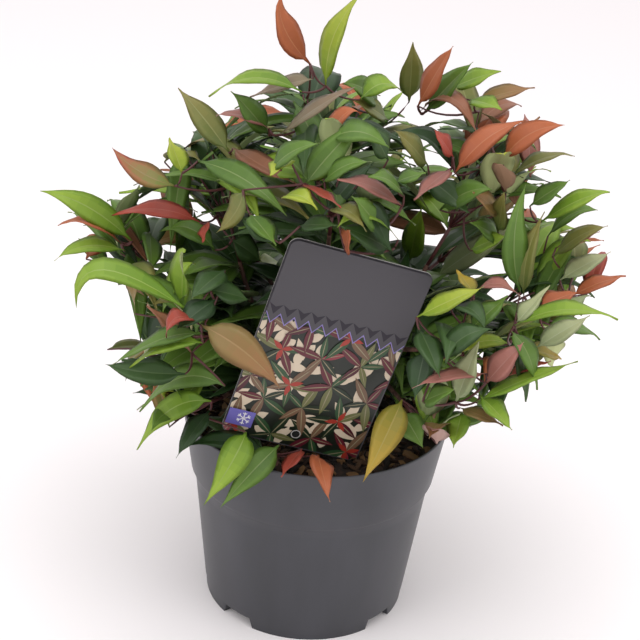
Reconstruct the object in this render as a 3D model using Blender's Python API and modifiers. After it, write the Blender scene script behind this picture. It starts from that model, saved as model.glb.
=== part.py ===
"""Potted leucothoe: a low evergreen flowering shrub in a round plastic nursery pot, with a
blank plant label standing in the soil.

Metres, +Z up. The origin is on the pot's axis at the height of the floor, and the front of
the plant faces -Y. Six stems rise from the soil. Five of them carry boughs, and each bough
ends where it enters a mass of foliage. The sixth is short and ends under its own mass.
"""

import math
import random

import bmesh
import bpy
from mathutils import Euler, Matrix, Vector
from mathutils.bvhtree import BVHTree
from mathutils.noise import noise

# Pot: a tapered body under a deep flared collar, on a foot ring with four notches
POT_HEIGHT = 0.121
RIM_RADIUS = 0.0765
COLLAR_HEIGHT = 0.0385
COLLAR_FOOT_RADIUS = 0.0706
BODY_TOP_RADIUS = 0.0688
FOOT_RADIUS = 0.0590
FOOT_WIDTH = 0.0055
FOOT_HEIGHT = 0.0080
PAD_RADIUS = 0.0300
WALL = 0.0012
PLATE = 0.0015
POT_STEPS = 36
NOTCH_COUNT = 4
NOTCH_DEGREES = 20
NOTCH_START_DEGREES = 50
DRAIN_COUNT = 6
DRAIN_RADIUS = 0.0040
DRAIN_RING_RADIUS = 0.0435

# Soil: fills the pot to a little under its rim
SOIL_TOP = 0.1105
SOIL_STEPS = 24
GAP = 0.0003

# Stems: from a flat cut at the soil to their fork
STEM_FOOT_RADIUS = 0.0042
STEM_RADIUS = 0.0030
STEM_TIP_RADIUS = 0.0021
STEM_FLARE_HEIGHT = 0.006
BOUGH_RADIUS = 0.0017
BOUGH_TIP_RADIUS = 0.0011
LIMB_POINTS = 5

# Crown: its middle, and how far out along a mass's reach that mass is centred
CROWN_FOOT = Vector((0.0, 0.0, 0.120))
MASS_CENTRE_SHARE = 0.70
MASS_CORE_SHARE = 0.22
MASS_LOBES = 6
LOBE_WIDTH_DEGREES = 21
MASS_GAP = 0.0016
MASS_WELD = 0.0008
UNEVENNESS = 0.10
SEED = 11

# Stems: name, foot azimuth, foot distance, tip azimuth, tip distance, tip height over the soil
STEMS = (
    ("stem_left", 190, 0.017, 185, 0.034, 0.055),
    ("stem_right", -10, 0.018, -8, 0.036, 0.060),
    ("stem_back_left", 120, 0.016, 122, 0.033, 0.056),
    ("stem_back_right", 55, 0.017, 50, 0.034, 0.052),
    ("stem_middle", -80, 0.006, -100, 0.008, 0.088),
    ("stem_front", -112, 0.056, -115, 0.060, 0.009),
)

# Foliage masses: name, stem, azimuth, elevation, reach, half width, half height
MASSES = (
    ("low_left", "stem_left", 179, 14, 0.150, 0.045, 0.030),
    ("low_front_left", "stem_left", -142, 9, 0.128, 0.042, 0.026),
    ("low_front_right", "stem_right", -40, 13, 0.118, 0.040, 0.026),
    ("low_right", "stem_right", 3, 18, 0.164, 0.046, 0.031),
    ("low_back_right", "stem_back_right", 58, 14, 0.148, 0.055, 0.030),
    ("low_back_left", "stem_back_left", 118, 14, 0.146, 0.055, 0.030),
    ("mid_left", "stem_left", 178, 37, 0.199, 0.047, 0.034),
    ("mid_front_left", "stem_left", -134, 39, 0.176, 0.046, 0.036),
    ("mid_front_right", "stem_right", -47, 38, 0.180, 0.046, 0.036),
    ("mid_right", "stem_right", -2, 34, 0.194, 0.048, 0.036),
    ("mid_back_right", "stem_back_right", 38, 40, 0.186, 0.050, 0.038),
    ("mid_back", "stem_back_right", 84, 39, 0.184, 0.050, 0.038),
    ("mid_back_left", "stem_back_left", 130, 40, 0.184, 0.050, 0.038),
    ("top_left", "stem_left", 174, 64, 0.206, 0.050, 0.046),
    ("top_front", "stem_middle", -90, 72, 0.206, 0.050, 0.042),
    ("top_middle", "stem_middle", 178, 86, 0.250, 0.035, 0.037),
    ("top_right", "stem_right", 4, 62, 0.226, 0.052, 0.050),
    ("top_back", "stem_middle", 92, 63, 0.210, 0.052, 0.044),
    ("front_tuft", "stem_front", -119, 5, 0.104, 0.022, 0.012),
)

# Label: a card with round corners, turned and tilted as it stands in the soil
CARD_WIDTH = 0.0786
CARD_HEIGHT = 0.1232
CARD_THICKNESS = 0.0006
CARD_CORNER_RADIUS = 0.0050
CARD_FOOT = Vector((-0.0140, -0.0445, 0.1199))
CARD_LEAN_DEGREES = 1.9
CARD_ROLL_DEGREES = 15.3
CARD_YAW_DEGREES = 7.2
CARD_CLEARANCE = 0.0010


def clear_scene():
    for obj in list(bpy.data.objects):
        bpy.data.objects.remove(obj, do_unlink=True)


def new_collection(name):
    made = bpy.data.collections.new(name)
    bpy.context.scene.collection.children.link(made)
    return made


def material(name, colour, roughness):
    made = bpy.data.materials.new(name)
    made.use_nodes = True
    shader = made.node_tree.nodes["Principled BSDF"]
    shader.inputs["Base Color"].default_value = (*colour, 1.0)
    shader.inputs["Roughness"].default_value = roughness
    shader.inputs["Metallic"].default_value = 0.0
    made.diffuse_color = (*colour, 1.0)
    return made


def polar(azimuth, elevation, distance):
    """The point at this distance from the origin, with both angles in degrees."""
    across = distance * math.cos(math.radians(elevation))
    return Vector(
        (
            across * math.cos(math.radians(azimuth)),
            across * math.sin(math.radians(azimuth)),
            distance * math.sin(math.radians(elevation)),
        )
    )


def add_object(name, data, collection, surface):
    obj = bpy.data.objects.new(name, data)
    data.materials.append(surface)
    collection.objects.link(obj)
    return obj


def body_radius(height):
    """The pot body's outer radius at a height under the collar."""
    share = height / (POT_HEIGHT - COLLAR_HEIGHT)
    return FOOT_RADIUS + share * (BODY_TOP_RADIUS - FOOT_RADIUS)


def pot_profile():
    """(radius, height) from the middle of the bottom's upper face, over the rim, to its underside."""
    collar_foot = POT_HEIGHT - COLLAR_HEIGHT
    plate_top = FOOT_HEIGHT + PLATE
    return (
        (0, PLATE),
        (PAD_RADIUS - WALL, PLATE),
        (PAD_RADIUS + 0.0028, plate_top),
        (body_radius(plate_top) - WALL, plate_top),
        (BODY_TOP_RADIUS - WALL, collar_foot),
        (COLLAR_FOOT_RADIUS - WALL, collar_foot + 0.0018),
        (RIM_RADIUS - WALL - 0.0006, POT_HEIGHT - 0.0012),
        (RIM_RADIUS - WALL, POT_HEIGHT),
        (RIM_RADIUS - 0.0003, POT_HEIGHT),
        (RIM_RADIUS, POT_HEIGHT - 0.0006),
        (RIM_RADIUS - 0.0002, POT_HEIGHT - 0.0022),
        (COLLAR_FOOT_RADIUS, collar_foot + 0.0010),
        (COLLAR_FOOT_RADIUS - 0.0005, collar_foot),
        (BODY_TOP_RADIUS, collar_foot - 0.0010),
        (FOOT_RADIUS, 0),
        (FOOT_RADIUS - FOOT_WIDTH, 0),
        (FOOT_RADIUS - FOOT_WIDTH - 0.0006, FOOT_HEIGHT),
        (PAD_RADIUS + 0.0040, FOOT_HEIGHT),
        (PAD_RADIUS, 0),
        (0, 0),
    )


def soil_profile():
    """(radius, height) of the soil, a gap inside the pot's inner face."""
    collar_foot = POT_HEIGHT - COLLAR_HEIGHT
    plate_top = FOOT_HEIGHT + PLATE
    collar_share = (SOIL_TOP - collar_foot) / COLLAR_HEIGHT
    top_radius = COLLAR_FOOT_RADIUS + collar_share * (RIM_RADIUS - COLLAR_FOOT_RADIUS)
    inset = WALL + 4 * GAP
    return (
        (0, SOIL_TOP),
        (top_radius - inset - 0.004, SOIL_TOP),
        (top_radius - inset, SOIL_TOP - 0.0015),
        (COLLAR_FOOT_RADIUS - inset, collar_foot + 0.0025),
        (BODY_TOP_RADIUS - inset, collar_foot),
        (body_radius(plate_top) - inset, plate_top + GAP),
        (PAD_RADIUS + 0.0028 - GAP, plate_top + GAP),
        (PAD_RADIUS - WALL - 2 * GAP, PLATE + GAP),
        (0, PLATE + GAP),
    )


def turned(name, profile, steps, collection, surface):
    """The solid that this half profile makes when it is turned about the pot's axis."""
    mesh = bpy.data.meshes.new(name)
    points = [(radius, 0, height) for radius, height in profile]
    edges = [(i, i + 1) for i in range(len(points) - 1)]
    mesh.from_pydata(points, edges, [])
    obj = add_object(name, mesh, collection, surface)
    screw = obj.modifiers.new("turn", "SCREW")
    screw.steps = steps
    screw.render_steps = steps
    screw.use_merge_vertices = True
    screw.merge_threshold = 0.00001
    screw.use_smooth_shade = True
    return obj


def cutter(name, mesh, collection):
    obj = bpy.data.objects.new(name, mesh)
    obj.hide_render = True
    obj.display_type = "WIRE"
    collection.objects.link(obj)
    return obj


def notch_mesh():
    """A block over one notch of the foot ring, a little narrower at its top."""
    bm = bmesh.new()
    bmesh.ops.create_cube(bm, size=1)
    width = 2 * FOOT_RADIUS * math.sin(math.radians(NOTCH_DEGREES / 2))
    for vert in bm.verts:
        vert.co.x = FOOT_RADIUS - FOOT_WIDTH / 2 + vert.co.x * 2.6 * FOOT_WIDTH
        top = vert.co.z > 0
        vert.co.y *= width * (0.82 if top else 1.18)
        vert.co.z = FOOT_HEIGHT if top else -FOOT_HEIGHT
    mesh = bpy.data.meshes.new("notch")
    bm.to_mesh(mesh)
    bm.free()
    return mesh


def drain_mesh():
    bm = bmesh.new()
    bmesh.ops.create_cone(
        bm,
        cap_ends=True,
        segments=12,
        radius1=DRAIN_RADIUS,
        radius2=DRAIN_RADIUS,
        depth=6 * PLATE,
    )
    mesh = bpy.data.meshes.new("drain")
    bm.to_mesh(mesh)
    bm.free()
    return mesh


def cut(obj, tool):
    boolean = obj.modifiers.new(tool.name, "BOOLEAN")
    boolean.operation = "DIFFERENCE"
    boolean.solver = "EXACT"
    boolean.object = tool


def make_pot(collection, cutters):
    surface = material("pot", (0.060, 0.061, 0.070), 0.42)
    pot = turned("pot", pot_profile(), POT_STEPS, collection, surface)
    notch = notch_mesh()
    for index in range(NOTCH_COUNT):
        tool = cutter(f"notch_{index}", notch, cutters)
        turn = NOTCH_START_DEGREES + index * 360 / NOTCH_COUNT
        tool.rotation_euler.z = math.radians(turn)
        cut(pot, tool)
    drain = drain_mesh()
    for index in range(DRAIN_COUNT):
        tool = cutter(f"drain_{index}", drain, cutters)
        place = polar(index * 360 / DRAIN_COUNT, 0, DRAIN_RING_RADIUS)
        tool.location = (place.x, place.y, FOOT_HEIGHT + PLATE / 2)
        cut(pot, tool)


def make_soil(collection):
    surface = material("soil", (0.022, 0.014, 0.009), 0.95)
    turned("soil", soil_profile(), SOIL_STEPS, collection, surface)


def card_matrix():
    """The label's pose: its middle bottom point, with X across its face and Z up it."""
    turn = Euler(
        (
            math.radians(CARD_LEAN_DEGREES),
            math.radians(CARD_ROLL_DEGREES),
            math.radians(CARD_YAW_DEGREES),
        ),
        "ZYX",
    )
    return Matrix.Translation(CARD_FOOT) @ turn.to_matrix().to_4x4()


def card_outline():
    corners = (
        (CARD_WIDTH / 2 - CARD_CORNER_RADIUS, CARD_CORNER_RADIUS, -90),
        (CARD_WIDTH / 2 - CARD_CORNER_RADIUS, CARD_HEIGHT - CARD_CORNER_RADIUS, 0),
        (CARD_CORNER_RADIUS - CARD_WIDTH / 2, CARD_HEIGHT - CARD_CORNER_RADIUS, 90),
        (CARD_CORNER_RADIUS - CARD_WIDTH / 2, CARD_CORNER_RADIUS, 180),
    )
    points = []
    for x, y, start in corners:
        for step in range(5):
            angle = math.radians(start + step * 90 / 4)
            points.append(
                (
                    x + CARD_CORNER_RADIUS * math.cos(angle),
                    y + CARD_CORNER_RADIUS * math.sin(angle),
                )
            )
    return points


def make_card(collection):
    surface = material("label", (0.075, 0.072, 0.080), 0.30)
    curve = bpy.data.curves.new("plant_label", "CURVE")
    curve.dimensions = "2D"
    curve.fill_mode = "BOTH"
    curve.extrude = CARD_THICKNESS / 2
    spline = curve.splines.new("POLY")
    outline = card_outline()
    spline.points.add(len(outline) - 1)
    for point, (x, y) in zip(spline.points, outline):
        point.co = (x, y, 0, 1)
    spline.use_cyclic_u = True
    card = add_object("plant_label", curve, collection, surface)
    pose = bpy.data.objects.new("label_pose", None)
    pose.rotation_mode = "ZYX"
    pose.location = CARD_FOOT
    pose.rotation_euler = card_matrix().to_euler("ZYX")
    collection.objects.link(pose)
    card.parent = pose
    card.rotation_euler.x = math.radians(90)


def limb(name, path, radii, collection, surface):
    """A round limb along these points, with a radius at each."""
    curve = bpy.data.curves.new(name, "CURVE")
    curve.dimensions = "3D"
    curve.bevel_depth = 1.0
    curve.bevel_resolution = 1
    curve.use_fill_caps = True
    spline = curve.splines.new("POLY")
    spline.points.add(len(path) - 1)
    for point, place, radius in zip(spline.points, path, radii):
        point.co = (*place, 1)
        point.radius = radius
    return add_object(name, curve, collection, surface)


def bend(start, control, end, share):
    """The point this far along the curve that leaves start towards control and arrives at end."""
    return (
        start * (1 - share) ** 2
        + control * 2 * share * (1 - share)
        + end * share**2
    )


def stem_path(foot_azimuth, foot_distance, tip_azimuth, tip_distance, height):
    """Straight up from the flat cut, then leaning out to the fork."""
    foot = polar(foot_azimuth, 0, foot_distance) + Vector((0, 0, SOIL_TOP + GAP))
    tip = polar(tip_azimuth, 0, tip_distance) + Vector((0, 0, SOIL_TOP + height))
    control = foot + Vector((0, 0, 0.55 * height))
    path = [bend(foot, control, tip, step / (LIMB_POINTS - 1)) for step in range(LIMB_POINTS)]
    return [foot, foot + Vector((0, 0, STEM_FLARE_HEIGHT)), *path[2:]]


def stem_radii(count):
    """Flared at the foot, then tapering evenly to the tip."""
    taper = [
        STEM_RADIUS + (STEM_TIP_RADIUS - STEM_RADIUS) * step / (count - 2)
        for step in range(count - 1)
    ]
    return [STEM_FOOT_RADIUS, *taper]


def make_stems(collection, surface):
    """The stems, and the path of each by name."""
    paths = {}
    for name, *shape in STEMS:
        path = stem_path(*shape)
        limb(name, path, stem_radii(len(path)), collection, surface)
        paths[name] = path
    return paths


def mass_centre(azimuth, elevation, reach):
    return CROWN_FOOT + polar(azimuth, elevation, MASS_CENTRE_SHARE * reach)


def mass_frame(azimuth, elevation):
    """Outward, sideways and upward directions of a mass."""
    outward = polar(azimuth, elevation, 1)
    sideways = polar(azimuth + 90, 0, 1)
    return outward, sideways, outward.cross(sideways)


def lobes_of(rng, outward, sideways, upward, reach, half_width, half_height):
    """Where the mass's shoots point, and how far each reaches from the mass's centre."""
    furthest = (1 - MASS_CENTRE_SHARE) * reach
    found = [(outward, furthest)]
    for index in range(MASS_LOBES):
        turn = math.radians(360 * (index + rng.uniform(-0.25, 0.25)) / MASS_LOBES)
        tilt = math.radians(rng.uniform(40, 64))
        side = sideways * math.cos(turn) + upward * math.sin(turn)
        towards = outward * math.cos(tilt) + side * math.sin(tilt)
        width = math.hypot(half_width * math.cos(turn), half_height * math.sin(turn))
        spread = math.hypot(math.cos(tilt) / furthest, math.sin(tilt) / (1.35 * width))
        found.append((towards.normalized(), rng.uniform(0.90, 1.06) / spread))
    return found


def blob(rng, azimuth, elevation, reach, half_width, half_height):
    """A closed, uneven mass of foliage with a lobe for each of its shoots."""
    centre = mass_centre(azimuth, elevation, reach)
    outward, sideways, upward = mass_frame(azimuth, elevation)
    lobes = lobes_of(rng, outward, sideways, upward, reach, half_width, half_height)
    wander = Vector((rng.uniform(0, 50), rng.uniform(0, 50), rng.uniform(0, 50)))
    bm = bmesh.new()
    bmesh.ops.create_icosphere(bm, subdivisions=3, radius=1)
    for vert in bm.verts:
        towards = vert.co.normalized()
        along = towards.dot(outward) / (MASS_CORE_SHARE * reach)
        across = towards.dot(sideways) / (0.86 * half_width)
        over = towards.dot(upward) / (0.86 * half_height)
        radius = 1 / math.sqrt(along**2 + across**2 + over**2)
        for lobe, furthest in lobes:
            angle = math.degrees(towards.angle(lobe))
            share = math.exp(-((angle / LOBE_WIDTH_DEGREES) ** 2))
            radius += max(0, furthest - radius) * share
        radius *= 1 + UNEVENNESS * noise(towards * 2.2 + wander)
        vert.co = centre + towards * radius
    return centre, bm


def keep_side(bm, place, away):
    """Cuts the mass at this plane and closes it, keeping the side that away points from."""
    everything = bm.verts[:] + bm.edges[:] + bm.faces[:]
    result = bmesh.ops.bisect_plane(
        bm,
        geom=everything,
        plane_co=place,
        plane_no=away,
        clear_outer=True,
        dist=0.00001,
    )
    edges = [item for item in result["geom_cut"] if isinstance(item, bmesh.types.BMEdge)]
    if edges:
        bmesh.ops.triangle_fill(bm, edges=edges, normal=away, use_beauty=True)


def part_neighbours(blobs):
    """Cuts each two masses that could meet at a plane between them."""
    sizes = {
        name: max((vert.co - centre).length for vert in bm.verts)
        for name, (centre, bm) in blobs.items()
    }
    core = {row[0]: row[5] for row in MASSES}
    for name, (centre, bm) in blobs.items():
        for other, (other_centre, _) in blobs.items():
            between = other_centre - centre
            if other == name or between.length > sizes[name] + sizes[other]:
                continue
            share = core[name] / (core[name] + core[other])
            away = between.normalized()
            keep_side(bm, centre + between * share - away * MASS_GAP / 2, away)


def part_from_card(centre, bm):
    """Cuts the mass at the face or edge of the label that its centre lies furthest beyond."""
    pose = card_matrix()
    local = pose.inverted() @ centre
    half = CARD_WIDTH / 2
    sides = (
        (local.x - half, Vector((half, 0, 0)), Vector((-1, 0, 0))),
        (-local.x - half, Vector((-half, 0, 0)), Vector((1, 0, 0))),
        (local.z - CARD_HEIGHT, Vector((0, 0, CARD_HEIGHT)), Vector((0, 0, -1))),
        (abs(local.y), Vector((0, 0, 0)), Vector((0, -math.copysign(1, local.y), 0))),
    )
    _, place, away = max(sides, key=lambda side: side[0])
    clear = CARD_CLEARANCE + CARD_THICKNESS / 2
    keep_side(bm, pose @ (place - away * clear), pose.to_3x3() @ away)


def make_masses(collection, surface):
    """The masses, and a tree of each one's surface by name."""
    rng = random.Random(SEED)
    blobs = {name: blob(rng, *shape) for name, _, *shape in MASSES}
    part_neighbours(blobs)
    trees = {}
    for name, (centre, bm) in blobs.items():
        part_from_card(centre, bm)
        keep_side(bm, Vector((0, 0, POT_HEIGHT + 2 * GAP)), Vector((0, 0, -1)))
        bmesh.ops.remove_doubles(bm, verts=bm.verts, dist=MASS_WELD)
        bmesh.ops.triangulate(bm, faces=bm.faces)
        bmesh.ops.recalc_face_normals(bm, faces=bm.faces)
        trees[name] = (centre, BVHTree.FromBMesh(bm))
        mesh = bpy.data.meshes.new(f"foliage_{name}")
        bm.to_mesh(mesh)
        bm.free()
        mesh.shade_smooth()
        add_object(f"foliage_{name}", mesh, collection, surface)
    return trees


def bough_path(stem, order, count, centre, tree):
    """From the side of its stem to just under the surface of its mass."""
    last = len(stem) - 1
    place = min(last, 2.6 + (last - 2.6) * (order + 1) / count)
    below = int(min(place, last - 1))
    root = stem[below].lerp(stem[below + 1], place - below)
    along = (stem[below + 1] - stem[below]).normalized()
    leaving = (centre - root).normalized()
    slant = max(0.45, leaving.cross(along).length)
    clear = (STEM_RADIUS + BOUGH_RADIUS + 2 * GAP) / slant
    start = root + leaving * clear
    hit = tree.ray_cast(start, leaving)
    reached = hit[3] if hit[0] is not None else (centre - start).length / 2
    end = start + leaving * (reached - 0.0014)
    sag = Vector((0, 0, -0.05 * (end - start).length))
    control = (start + end) / 2 + sag
    return [bend(start, control, end, step / (LIMB_POINTS - 1)) for step in range(LIMB_POINTS)]


def make_boughs(collection, surface, stems, trees):
    """A bough to each mass, but none where a stem carries one mass and ends right under it."""
    for stem_name, path in stems.items():
        carried = [row for row in MASSES if row[1] == stem_name]
        if len(carried) == 1:
            continue
        carried.sort(key=lambda row: row[3])
        for order, (name, *_) in enumerate(carried):
            centre, tree = trees[name]
            route = bough_path(path, order, len(carried), centre, tree)
            radii = [
                BOUGH_RADIUS + (BOUGH_TIP_RADIUS - BOUGH_RADIUS) * step / (len(route) - 1)
                for step in range(len(route))
            ]
            limb(f"bough_{name}", route, radii, collection, surface)


def main():
    clear_scene()
    parts = new_collection("potted_leucothoe")
    cutters = new_collection("cutters")
    bark = material("bark", (0.16, 0.07, 0.05), 0.80)
    leaf = material("foliage", (0.10, 0.17, 0.04), 0.55)
    make_pot(parts, cutters)
    make_soil(parts)
    make_card(parts)
    stems = make_stems(parts, bark)
    trees = make_masses(parts, leaf)
    make_boughs(parts, bark, stems, trees)


main()
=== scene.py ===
"""Looks of the potted leucothoe: pot, soil, label, bark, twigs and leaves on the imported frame.

Metres, +Z up. The plant's front faces -Y. Pixels are those of a 640 x 640 picture.
"""

import random
from math import cos, degrees, hypot, pi, radians, sin, sqrt

import bpy
import numpy as np
from mathutils import Euler, Matrix, Vector
from mathutils.bvhtree import BVHTree
from mathutils.noise import noise


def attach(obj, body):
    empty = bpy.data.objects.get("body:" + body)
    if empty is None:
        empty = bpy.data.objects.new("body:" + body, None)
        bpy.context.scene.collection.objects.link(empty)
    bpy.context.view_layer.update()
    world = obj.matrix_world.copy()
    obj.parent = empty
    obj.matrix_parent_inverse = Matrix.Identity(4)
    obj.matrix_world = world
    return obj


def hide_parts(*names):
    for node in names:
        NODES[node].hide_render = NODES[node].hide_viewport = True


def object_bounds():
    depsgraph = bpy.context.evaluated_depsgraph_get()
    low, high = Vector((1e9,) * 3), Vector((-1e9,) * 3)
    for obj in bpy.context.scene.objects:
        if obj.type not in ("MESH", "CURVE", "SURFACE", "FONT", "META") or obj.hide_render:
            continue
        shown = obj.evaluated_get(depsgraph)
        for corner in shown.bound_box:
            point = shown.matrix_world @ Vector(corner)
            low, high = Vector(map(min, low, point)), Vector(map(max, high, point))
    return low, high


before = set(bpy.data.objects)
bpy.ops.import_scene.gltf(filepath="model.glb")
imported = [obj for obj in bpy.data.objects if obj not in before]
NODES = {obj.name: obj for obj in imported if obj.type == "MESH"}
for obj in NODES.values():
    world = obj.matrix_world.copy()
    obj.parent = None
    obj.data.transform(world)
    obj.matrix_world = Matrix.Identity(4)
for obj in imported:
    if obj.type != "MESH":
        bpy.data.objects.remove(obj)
CAD_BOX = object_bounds()

SEED = 23
FULL_TURN = 2 * pi
# The turns of leaves are drawn from a full turn to two decimals
DRAWN_TURN = 6.28
SQUARE = ((-1, -1), (1, -1), (1, 1), (-1, 1))

# Camera: its place, how it looks down and leans, and its focal length in pixels
IMAGE_SIDE = 640
FOCAL_PIXELS = 1507.72
CAMERA_PLACE = Vector((-0.001745, -0.757395, 0.548039))
CAMERA_DOWN = 0.456284
CAMERA_LEAN = 0.074561
SENSOR = 36.0

# Pot, as in the frame
POT_HEIGHT = 0.121
RIM_RADIUS = 0.0765
COLLAR_FOOT = 0.0825
COLLAR_FOOT_RADIUS = 0.0706
BODY_TOP_RADIUS = 0.0688
FOOT_RADIUS = 0.0590
FOOT_WIDTH = 0.0055
FOOT_HEIGHT = 0.0080
PAD_RADIUS = 0.0300
PAD_SLOPE = 0.0040
WALL = 0.0012
NOTCH_COUNT = 4
NOTCH_DEGREES = 20
NOTCH_START_DEGREES = 50
NOTCH_HEIGHT = 0.0062
POT_STEPS = 180

# The pot's edges, as (out, up) from each edge in the order of the profile
RIM_EDGE = (
    (-0.0018, -0.0012), (-WALL, -0.0001), (-0.0003, 0), (0, -0.0006), (-0.0002, -0.0022), (-0.0030, -0.0200),
)
COLLAR_EDGE = ((0.0004, 0.0022), (-0.0004, 0.0004))
SHOULDER_EDGE = ((0.0002, -0.0010), (-0.0010, -0.0080))

# Soil and the chips of bark in it
SOIL_TOP = 0.1105
SOIL_RADIUS = 0.0722
SOIL_FLOOR = 0.0150
SOIL_RINGS = 26
SOIL_STEPS = 96
CHIP_COUNT = 900
CHIP_LENGTHS = (0.003, 0.004, 0.005, 0.008, 0.011)
# Each section of a chip: place along it and how full it is
CHIP_SECTIONS = ((-1, 0.7), (-0.35, 1.0), (0.4, 0.9), (1, 0.5))
# Each kind of chip: colour and roughness
CHIPS = {
    "dark": ("#2a1a10", 0.85),
    "brown": ("#3a2818", 0.8),
    "light": ("#5e452a", 0.8),
    "black": ("#140e0a", 0.9),
}

# Label, as in the frame
CARD_WIDTH = 0.0786
CARD_HEIGHT = 0.1232
CARD_THICKNESS = 0.0006
CARD_CORNER = 0.0050
CARD_FOOT = Vector((-0.0140, -0.0445, 0.1199))
CARD_TURN = Euler((radians(1.9), radians(15.3), radians(7.2)), "ZYX")
CARD_INVERSE = (Matrix.Translation(CARD_FOOT) @ CARD_TURN.to_matrix().to_4x4()).inverted()
CORNER_STEPS = 8

# Print of the label
PICTURE_TOP = 0.080
LAYER = 0.00001
THIN_LAYER = 0.000002
BORDER_LIFT = 0.00135
INK_COLOURS = (
    "#1d2c1c", "#5a1c28", "#6e5440", "#2c4a2c", "#4a1a26", "#66683f", "#9c3226", "#83303a", "#cfbfa8",
)
LEAF_INKS = (0, 1, 2, 3, 4, 5, 7, 1, 3, 0)
FLOWER_INK = 6
BUD_INK = 8
# Each material of the label: colour, roughness and, where it isn't 0.5, specular
CARD_LOOKS = {
    "grey": ("#4a484d", 0.38, 0.35),
    "edge": ("#b9b6b4", 0.5),
    "back": ("#c9c6c4", 0.4),
    "ground": ("#1a2018", 0.28),
    "rib": ("#8d8468", 0.28),
    "lilac": ("#8478b4", 0.28),
    "night": ("#28242e", 0.38, 0.35),
    "violet": ("#6a63b4", 0.28),
    "white": ("#eeecf2", 0.28),
    # hole: a near-black disc of painted shade, standing for the dark seen through the punched hole
    "hole": ("#0c0b0a", 0.9),
}
CARD_LOOKS.update({f"ink_{index}": (text, 0.28) for index, text in enumerate(INK_COLOURS)})

# Limbs
LIMB_RINGS = 5
BARK_SIDES = 12
BARK_STEPS = 6
BARK_RELIEF = 0.16
TWIG_SIDES = 6
TWIG_STEPS = 6
TWIG_RADIUS = 0.00075
TWIG_TIP_RADIUS = 0.00045

# Leaves. Places across a blade run from -1 to 1
LEAF_STATIONS = 12
LEAF_RIDGE = 0.52
LEAF_RIB = 0.045
LEAF_ACROSS = (-1.0, -LEAF_RIDGE, -LEAF_RIB, LEAF_RIB, LEAF_RIDGE, 1.0)
LEAF_THICKNESS = 0.00016
TINT_STEPS = 7

# Each tint: base of the blade, tip of the blade, midrib, underside
# dark and deep, the darkest greens, mostly go to leaves deep in the crown: partly their own older green,
# partly painted shade
TINTS = {
    "dark": ("#2b431f", "#3a5428", "#52693a", "#677852"),
    "deep": ("#20351a", "#2a4520", "#3b532c", "#515f46"),
    "green": ("#486527", "#5d7b2f", "#879858", "#8c9a6c"),
    "fresh": ("#5f8024", "#88a236", "#a4b45e", "#a3ae7a"),
    "lime": ("#7a922c", "#a0aa3c", "#b5b866", "#adb57e"),
    "olive": ("#5e6a34", "#7c753c", "#969056", "#98966c"),
    "bronze": ("#76683a", "#8a6440", "#a27a52", "#a5906e"),
    "gold": ("#7c7a2e", "#a68a34", "#b59b50", "#a69e70"),
    "brown": ("#75503a", "#8c5a42", "#9c6a52", "#a07e66"),
    "orange": ("#985234", "#aa5f3a", "#bc7c54", "#ac7e62"),
    "red": ("#86382c", "#a04636", "#ac5a48", "#a66e60"),
    "mauve": ("#8c5a50", "#a06a60", "#ae7e74", "#ac8c82"),
    "grey": ("#7a7058", "#86725f", "#a0937c", "#a19884"),
    "pale": ("#8d9970", "#a2a67c", "#b8bb98", "#b8bb98"),
    "blush": ("#556c30", "#985a36", "#887648", "#988864"),
    "flame": ("#6f7638", "#9a523c", "#966a4a", "#9e8066"),
}
# Inner leaves get the darkest tints: partly the older leaves' own deeper green, partly painted shade of the
# crown's inside
INNER_TINTS = ("deep", "dark", "dark", "green", "green")
MIDDLE_TINTS = ("dark", "green", "green", "fresh", "olive", "green", "fresh")
# Outer tints are fresher and lighter: partly the young growth's own colour, partly painted light on the
# crown's outside
OUTER_TINTS = (
    "green", "fresh", "olive", "green", "fresh", "bronze", "green",
    "orange", "lime", "blush", "fresh", "brown", "olive",
)
WARM_TINTS = ("red", "orange", "brown", "mauve")

# Crown, and what its leaves and twigs keep clear of
CROWN_MIDDLE = Vector((0.0, 0.0, 0.165))
CROWN_MARGIN = 0.013
ROOM = 0.008
SEEN_MARGIN = 0.006
TWIG_MARGIN = -0.004
SHOOT_MARGIN = -0.002
SHOWN_CELL = 9
HIDING_GAP = 0.004
FRONT_LEAF_RISE = 0.012
MASS_SHOOTS = 8
TUFT_SHOOTS = 2
LEAF_TRIES = 5
ALMOST_UPRIGHT = 0.2


def srgb(text):
    """A colour of the picture as linear red, green and blue."""
    parts = [int(text[i : i + 2], 16) / 255 for i in (1, 3, 5)]
    return [c / 12.92 if c < 0.04045 else ((c + 0.055) / 1.055) ** 2.4 for c in parts]


def principled(name, colour, roughness, specular=0.5):
    made = bpy.data.materials.get(name)
    if made is None:
        made = bpy.data.materials.new(name)
        made.use_nodes = True
        shader = made.node_tree.nodes["Principled BSDF"]
        shader.inputs["Base Color"].default_value = (*colour, 1)
        shader.inputs["Roughness"].default_value = roughness
        shader.inputs["Specular IOR Level"].default_value = specular
    return made


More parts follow.
